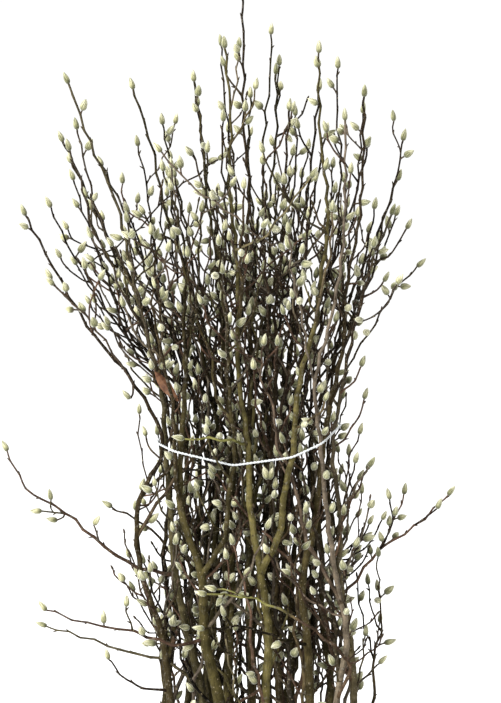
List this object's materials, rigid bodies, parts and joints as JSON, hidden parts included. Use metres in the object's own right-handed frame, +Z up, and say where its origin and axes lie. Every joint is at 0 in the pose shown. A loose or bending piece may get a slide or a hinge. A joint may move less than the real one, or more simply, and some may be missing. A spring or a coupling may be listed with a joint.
{
  "type": "tied bundle of star magnolia branches",
  "caption": "Upright bundle of cut star magnolia branches in winter bud, with furry silvery-green buds on dark forking twigs, held by a white string.",
  "frame": {"origin": "middle of the level sawn end of the bundle's middle branch, on the surface that the bundle stands on", "axes": "+Z up along the bundle, +X to the right as the bundle's front is looked at, +Y to the back, where the string's knot is"},
  "size_m": [0.7913, 0.6055, 1.466],
  "materials": {
    "bark": "matt olive-brown bark, darker on the young twigs, with furry cream-green buds",
    "white_string": "matt twisted string",
    "dry_leaf": "dry, dull reddish-brown"
  },
  "bodies": {
    "root": {"branch_01": "bark", "branch_02": "bark", "branch_03": "bark", "branch_04": "bark", "branch_05": "bark", "branch_06": "bark", "branch_07": "bark", "branch_08": "bark", "branch_09": "bark", "branch_10": "bark", "branch_11": "bark", "branch_12": "bark", "branch_13": "bark", "branch_14": "bark", "branch_15": "bark", "branch_16": "bark", "branch_17": "bark", "branch_18": "bark", "branch_19": "bark", "branch_20": "bark", "branch_21": "bark", "string_tie": "white_string", "dead_leaf": "dry_leaf"}
  },
  "joints": []
}
